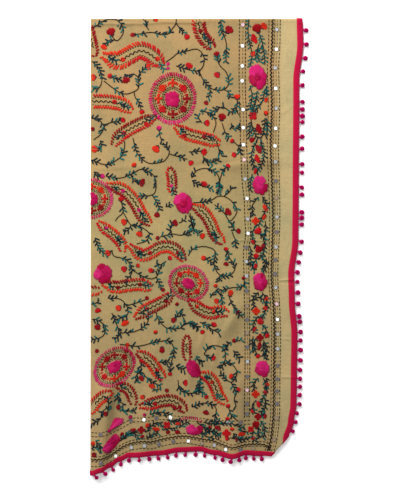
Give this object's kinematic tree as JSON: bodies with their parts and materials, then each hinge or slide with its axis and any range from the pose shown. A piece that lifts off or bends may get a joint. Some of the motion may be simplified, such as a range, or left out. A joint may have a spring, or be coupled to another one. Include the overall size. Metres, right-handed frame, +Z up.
{
  "type": "shawl",
  "caption": "Embroidered cotton shawl with mirrors, bound edges and a pompom trim, folded in four and laid flat.",
  "frame": {"origin": "centre of the whole box, at its underside, where the folded cloth rests", "axes": "+Z up out of the cloth's face, +Y along its length towards the cross fold, +X towards the bound side"},
  "size_m": [0.5476, 1.153, 0.0267],
  "materials": {
    "cotton_face": "matte slub cotton",
    "cotton_inner": "matte slub cotton",
    "binding": "soft satin cotton tape",
    "pompoms": "fluffy cut wool"
  },
  "bodies": {
    "root": {"cloth_face": "cotton_face", "cloth_layers": "cotton_inner", "side_binding": "binding", "hem_binding": "binding", "side_pompoms": "pompoms", "hem_pompoms": "pompoms"}
  },
  "joints": []
}
